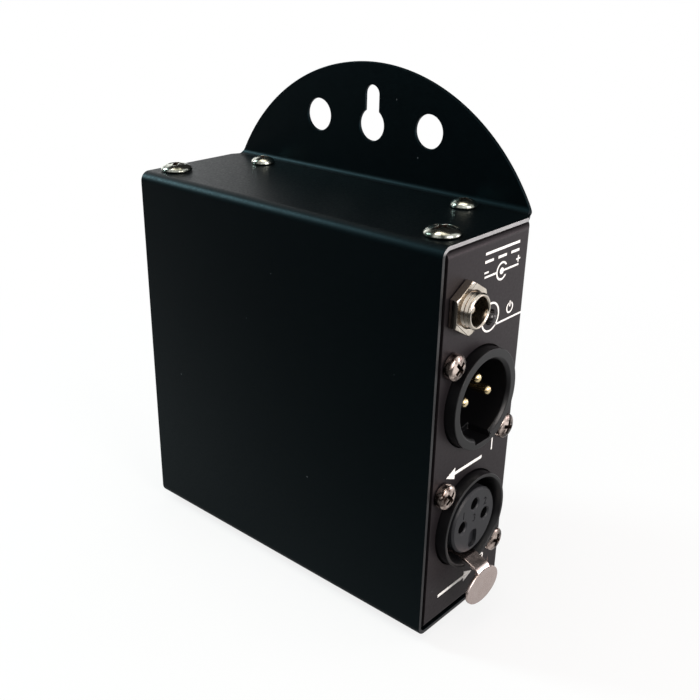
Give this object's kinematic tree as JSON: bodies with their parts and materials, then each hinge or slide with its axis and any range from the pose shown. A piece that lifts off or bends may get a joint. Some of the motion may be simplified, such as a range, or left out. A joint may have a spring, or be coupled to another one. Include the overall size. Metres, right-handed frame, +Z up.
{
  "type": "dmx splitter",
  "caption": "Small wall-mounted lighting-data splitter: folded steel box with an arched hanger, a pin socket in, latching sockets out and a low-voltage inlet.",
  "frame": {"origin": "centre of the bounding box in plan, at the lowest points of the heads of the screws under the box", "axes": "+Z up; the broad front faces -Y; the end with the low-voltage inlet faces +X; the hanger stands at +Y"},
  "size_m": [0.1076, 0.0356, 0.1254],
  "materials": {
    "cover_paint": "satin near-black powder coat with a teal cast",
    "panel_paint": "satin dark grey powder coat",
    "nickel": "bright nickel plate",
    "latch_nickel": "satin nickel plate",
    "spring_steel": "bare spring steel",
    "gold": "gilt contacts",
    "black_plastic": "moulded black",
    "grey_plastic": "moulded dark grey",
    "lamp_lens": "tinted clear lens",
    "board_green": "green solder mask",
    "chip_epoxy": "black epoxy",
    "capacitor_sleeve": "blue shrink sleeve",
    "cable_grey": "grey flat cable"
  },
  "bodies": {
    "case": {"cover": "cover_paint", "chassis": "panel_paint", "top_screw_front_left": "nickel", "bottom_screw_front_left": "nickel", "top_screw_back_left": "nickel", "bottom_screw_back_left": "nickel", "top_screw_front_right": "nickel", "bottom_screw_front_right": "nickel", "top_screw_back_right": "nickel", "bottom_screw_back_right": "nickel", "input_housing": "black_plastic", "input_pin_1": "gold", "input_pin_2": "gold", "input_pin_3": "gold", "input_screw_1": "nickel", "input_screw_2": "nickel", "through_housing": "black_plastic", "through_insert": "grey_plastic", "through_latch_spring": "spring_steel", "through_contact_1": "gold", "through_contact_2": "gold", "through_contact_3": "gold", "through_screw_1": "nickel", "through_screw_2": "nickel", "inlet_body": "nickel", "inlet_pin": "nickel", "inlet_nut": "nickel", "power_lamp": "lamp_lens", "inlet_board": "board_green", "isolator_chip": "chip_epoxy", "supply_capacitor": "capacitor_sleeve", "right_cable_header": "black_plastic", "right_cable_socket": "grey_plastic", "output_1_housing": "black_plastic", "output_1_insert": "grey_plastic", "output_1_latch_spring": "spring_steel", "output_1_contact_1": "gold", "output_1_contact_2": "gold", "output_1_contact_3": "gold", "output_1_screw_1": "nickel", "output_1_screw_2": "nickel", "output_2_housing": "black_plastic", "output_2_insert": "grey_plastic", "output_2_latch_spring": "spring_steel", "output_2_contact_1": "gold", "output_2_contact_2": "gold", "output_2_contact_3": "gold", "output_2_screw_1": "nickel", "output_2_screw_2": "nickel", "output_board": "board_green", "driver_chip_1": "chip_epoxy", "driver_chip_2": "chip_epoxy", "supply_regulator": "chip_epoxy", "left_cable_header": "black_plastic", "left_cable_socket": "grey_plastic", "flat_cable": "cable_grey"},
    "through_latch": {"through_latch": "latch_nickel"},
    "output_1_latch": {"output_1_latch": "latch_nickel"},
    "output_2_latch": {"output_2_latch": "latch_nickel"}
  },
  "joints": [
    {"name": "through_latch_pivot", "type": "hinge", "parent": "case", "child": "through_latch", "pos_m": [0.0375, -0.00125, 0.0178], "axis": [0, 1, 0], "range_deg": [0, 6], "stiffness_Nm_per_rad": 0.2, "deforming": ["through_latch_spring"]},
    {"name": "output_1_latch_pivot", "type": "hinge", "parent": "case", "child": "output_1_latch", "pos_m": [-0.0375, -0.00125, 0.0495], "axis": [0, -1, 0], "range_deg": [0, 6], "stiffness_Nm_per_rad": 0.2, "deforming": ["output_1_latch_spring"]},
    {"name": "output_2_latch_pivot", "type": "hinge", "parent": "case", "child": "output_2_latch", "pos_m": [-0.0375, -0.00125, 0.0178], "axis": [0, -1, 0], "range_deg": [0, 6], "stiffness_Nm_per_rad": 0.2, "deforming": ["output_2_latch_spring"]}
  ]
}
